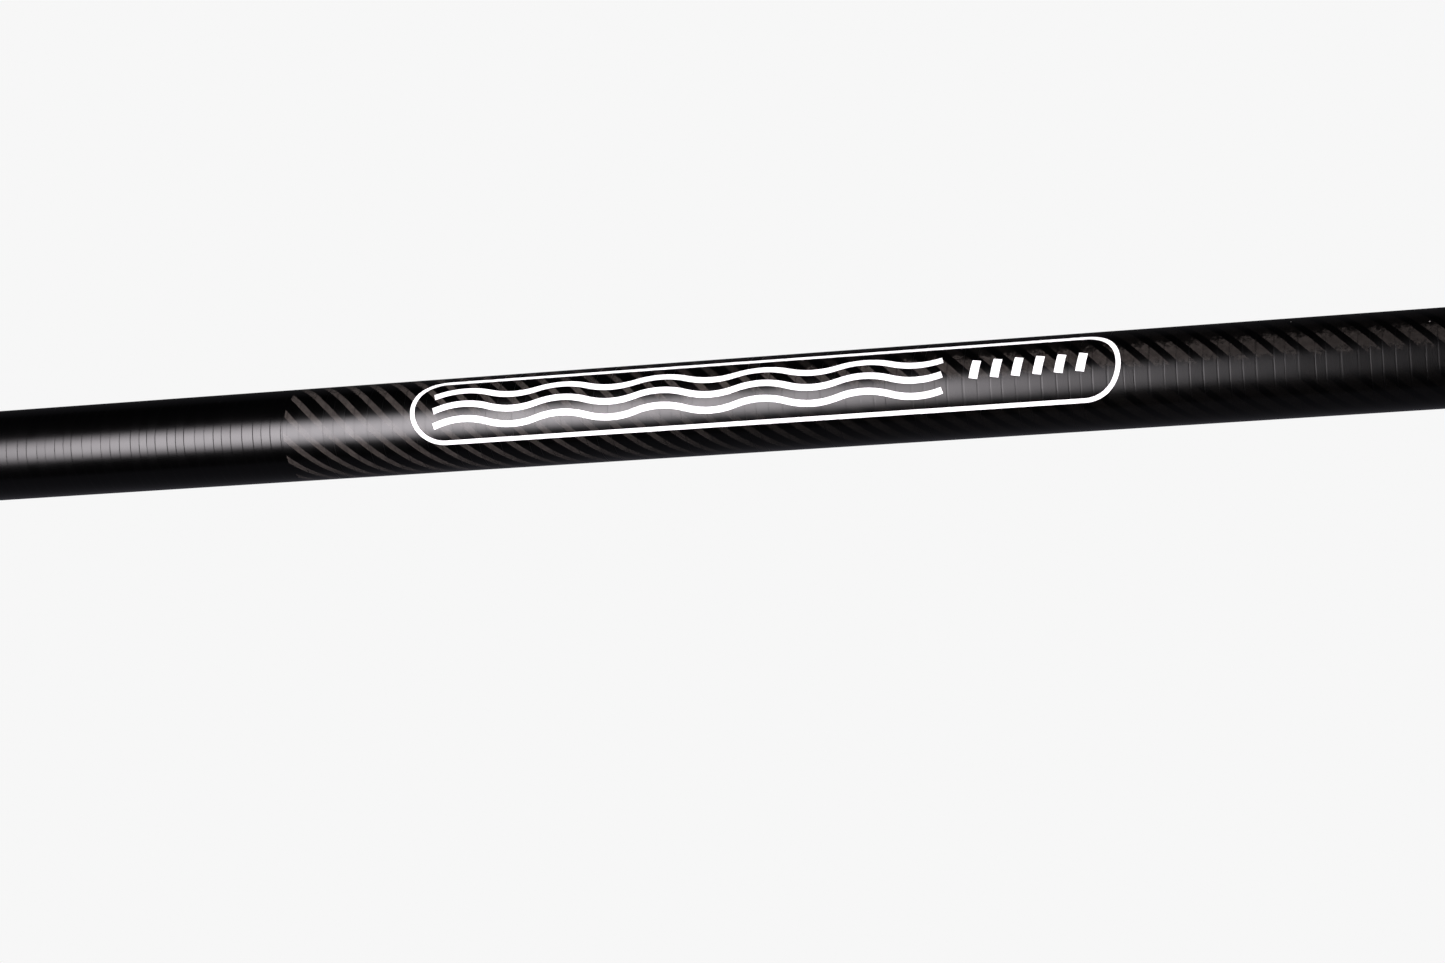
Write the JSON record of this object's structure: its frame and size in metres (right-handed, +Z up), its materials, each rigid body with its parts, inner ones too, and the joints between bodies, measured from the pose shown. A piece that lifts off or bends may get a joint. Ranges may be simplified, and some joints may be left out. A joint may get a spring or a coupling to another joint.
{
  "type": "adjustable single blade paddle",
  "caption": "Adjustable stand-up paddle: one canted carbon blade, striped carbon shaft, cam-lever clamp, telescoping extension and T-grip.",
  "frame": {"origin": "on the supporting surface, under the middle of the paddle's box at its stored length", "axes": "+X along the shaft from the blade's tip to the T-grip, +Z up, power face down; +Y completes the right-handed frame, so the clamp's bolt is on the -Y side"},
  "size_m": [1.7996, 0.1944, 0.0892],
  "materials": {
    "foam": "closed-cell foam",
    "carbon_blade": "clear-coated carbon laminate",
    "carbon_shaft": "satin clear coat over carbon",
    "carbon_weave": "clear coat over a striped carbon ply",
    "edge_plastic": "satin moulded plastic",
    "nylon": "fine moulded texture",
    "lever_nylon": "satin moulded plastic",
    "rivet_steel": "plain",
    "steel": "plain",
    "acetal": "smooth",
    "washer_plastic": "smooth",
    "anodised": "dark anodised",
    "rail_nylon": "smooth",
    "seal_rubber": "matt",
    "grip_plastic": "satin moulded plastic",
    "grip_rubber": "soft-touch"
  },
  "bodies": {
    "paddle": {"blade_core": "foam", "power_face_skin": "carbon_blade", "back_face_skin": "carbon_blade", "edge_rail": "edge_plastic", "main_shaft": "carbon_shaft", "torsion_wrap": "carbon_weave", "tube_foot_plug": "foam", "float_plug": "foam", "clamp_collar": "nylon", "collar_rivets": "rivet_steel", "guide_sleeve": "acetal", "wiper_seal": "seal_rubber", "clamp_bolt": "steel", "cam_pin": "steel", "cam_washer": "washer_plastic", "nut_washer": "steel"},
    "extension": {"extension_tube": "carbon_shaft", "anti_twist_rail": "rail_nylon", "end_glide": "acetal", "glide_seal": "seal_rubber", "grip_ring": "anodised", "grip_body": "grip_plastic", "palm_pad": "grip_rubber", "grip_spigot": "nylon"},
    "lever": {"clamp_lever": "lever_nylon"},
    "thumb_nut": {"tension_nut": "anodised"}
  },
  "joints": [
    {"name": "extension_slide", "type": "slide", "parent": "paddle", "child": "extension", "axis": [1, 0, 0], "range_m": [-0.1, 0.3]},
    {"name": "lever_hinge", "type": "hinge", "parent": "paddle", "child": "lever", "pos_m": [0.6245, -0.024, 0.0342], "axis": [1, 0, 0], "range_deg": [0, 150]},
    {"name": "thumb_nut_spin", "type": "hinge", "parent": "paddle", "child": "thumb_nut", "pos_m": [0.6245, -0.024, 0.017], "axis": [0, 0, 1], "range_deg": [-180, 180]}
  ]
}
